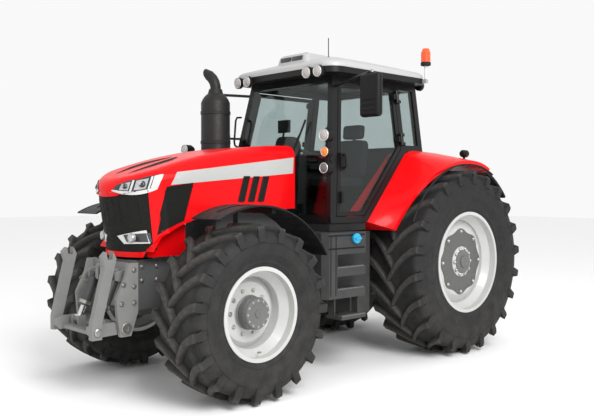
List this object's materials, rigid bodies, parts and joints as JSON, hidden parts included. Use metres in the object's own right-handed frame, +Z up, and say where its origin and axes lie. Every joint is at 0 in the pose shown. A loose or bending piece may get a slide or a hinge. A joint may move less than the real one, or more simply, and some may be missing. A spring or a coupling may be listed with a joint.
{
  "type": "farm tractor",
  "caption": "Large farm tractor with closed cab, big lugged rear tyres, opening bonnet and doors, steered front axle, folded front linkage and rear three-point linkage.",
  "frame": {"origin": "on the ground under the middle of the tractor's box", "axes": "+X forward, +Y to the tractor's left, +Z up"},
  "size_m": [5.46, 2.72, 3.51],
  "materials": {
    "cast_grey": "painted, satin",
    "red_paint": "gloss",
    "black_plastic": "matte",
    "black_frame": "satin",
    "tyre": "matte",
    "wheel_silver": "satin",
    "roof_grey": "satin",
    "window_glass": "tinted",
    "seat_fabric": "woven",
    "tank_plastic": "matte",
    "exhaust_steel": "satin",
    "lamp_lens": "clear",
    "beacon_amber": "clear",
    "cylinder_black": "gloss",
    "rod_chrome": "polished"
  },
  "bodies": {
    "chassis": {"engine": "cast_grey", "transmission": "cast_grey", "front_support": "cast_grey", "front_axle": "cast_grey", "cab_frame": "black_frame", "cab_floor": "black_frame", "roof_rim": "black_plastic", "cab_roof": "roof_grey", "cab_glass": "window_glass", "seat": "seat_fabric", "console": "black_plastic", "rear_fenders": "red_paint", "fender_extensions": "black_plastic", "step_tanks": "tank_plastic", "exhaust": "exhaust_steel", "mirrors": "black_plastic", "work_lamps": "lamp_lens", "beacon": "beacon_amber", "front_frame": "cast_grey", "rear_hitch": "cast_grey"},
    "bonnet_lid": {"bonnet": "red_paint", "grilles": "black_plastic", "headlamps": "lamp_lens"},
    "left_door": {"door_left": "black_frame", "door_glass_left": "window_glass"},
    "right_door": {"door_right": "black_frame", "door_glass_right": "window_glass"},
    "left_knuckle": {"knuckle_left": "cast_grey", "front_guard_left": "black_plastic"},
    "right_knuckle": {"knuckle_right": "cast_grey", "front_guard_right": "black_plastic"},
    "front_left": {"front_tyre_left": "tyre", "front_wheel_left": "wheel_silver"},
    "front_right": {"front_tyre_right": "tyre", "front_wheel_right": "wheel_silver"},
    "rear_left": {"rear_tyre_left": "tyre", "rear_wheel_left": "wheel_silver"},
    "rear_right": {"rear_tyre_right": "tyre", "rear_wheel_right": "wheel_silver"},
    "front_arms": {"front_lift": "cast_grey"},
    "front_barrels": {"front_cylinders": "cylinder_black"},
    "front_pistons": {"front_rods": "rod_chrome"},
    "rear_links": {"lower_links": "cast_grey"},
    "rear_arms": {"lift_arms": "cast_grey"},
    "rear_rods": {"lift_rods": "cast_grey"}
  },
  "joints": [
    {"name": "steer_left", "type": "hinge", "parent": "chassis", "child": "left_knuckle", "pos_m": [1.615, 0.76, 0.76264], "axis": [0, 0, 1], "range_deg": [-35, 35]},
    {"name": "steer_right", "type": "hinge", "parent": "chassis", "child": "right_knuckle", "pos_m": [1.615, -0.76, 0.76264], "axis": [0, 0, 1], "range_deg": [-35, 35]},
    {"name": "front_wheel_left_spin", "type": "hinge", "parent": "left_knuckle", "child": "front_left", "pos_m": [1.615, 0.965, 0.76264], "axis": [0, 1, 0], "continuous": true},
    {"name": "front_wheel_right_spin", "type": "hinge", "parent": "right_knuckle", "child": "front_right", "pos_m": [1.615, -0.965, 0.76264], "axis": [0, 1, 0], "continuous": true},
    {"name": "rear_wheel_left_spin", "type": "hinge", "parent": "chassis", "child": "rear_left", "pos_m": [-1.37, 0.93, 1.01241], "axis": [0, 1, 0], "continuous": true},
    {"name": "rear_wheel_right_spin", "type": "hinge", "parent": "chassis", "child": "rear_right", "pos_m": [-1.37, -0.93, 1.01241], "axis": [0, 1, 0], "continuous": true},
    {"name": "door_left_swing", "type": "hinge", "parent": "chassis", "child": "left_door", "pos_m": [-0.775, 0.72159, 2.57136], "axis": [0, -0.1483, 0.9889], "range_deg": [0, 70]},
    {"name": "door_right_swing", "type": "hinge", "parent": "chassis", "child": "right_door", "pos_m": [-0.775, -0.72159, 2.57136], "axis": [0, -0.1483, -0.9889], "range_deg": [0, 70]},
    {"name": "bonnet_lift", "type": "hinge", "parent": "chassis", "child": "bonnet_lid", "pos_m": [0.595, 0, 2.19], "axis": [0, -1, 0], "range_deg": [0, 45]},
    {"name": "front_lift_lower", "type": "hinge", "parent": "chassis", "child": "front_arms", "pos_m": [2.41, 0, 0.63], "axis": [0, 1, 0], "range_deg": [0, 35]},
    {"name": "front_barrel_swing", "type": "hinge", "parent": "chassis", "child": "front_barrels", "pos_m": [2.4, 0, 1.06], "axis": [0, 1, 0], "range_deg": [-1, 5.8]},
    {"name": "front_rod_slide", "type": "slide", "parent": "front_barrels", "child": "front_pistons", "axis": [0.388, 0, -0.9217], "range_m": [0, 0.0907]},
    {"name": "rear_lift", "type": "hinge", "parent": "chassis", "child": "rear_links", "pos_m": [-1.85, 0, 0.62], "axis": [0, 1, 0], "range_deg": [-10, 35]},
    {"name": "rear_arm_turn", "type": "hinge", "parent": "chassis", "child": "rear_arms", "pos_m": [-1.67, 0, 1.43], "axis": [0, 1, 0], "range_deg": [-11, 36]},
    {"name": "rear_rod_turn", "type": "hinge", "parent": "rear_arms", "child": "rear_rods", "pos_m": [-2.1, 0, 1.43], "axis": [0, 1, 0], "range_deg": [-37, 12]}
  ],
  "couplings": [
    {"joint": "steer_right", "follows": "steer_left", "ratio": 1},
    {"joint": "front_barrel_swing", "follows": "front_lift_lower", "ratio": 0.13708},
    {"joint": "front_rod_slide", "follows": "front_lift_lower", "m_per_rad": 0.14349},
    {"joint": "rear_arm_turn", "follows": "rear_lift", "ratio": 0.97657},
    {"joint": "rear_rod_turn", "follows": "rear_lift", "ratio": -0.9742}
  ]
}
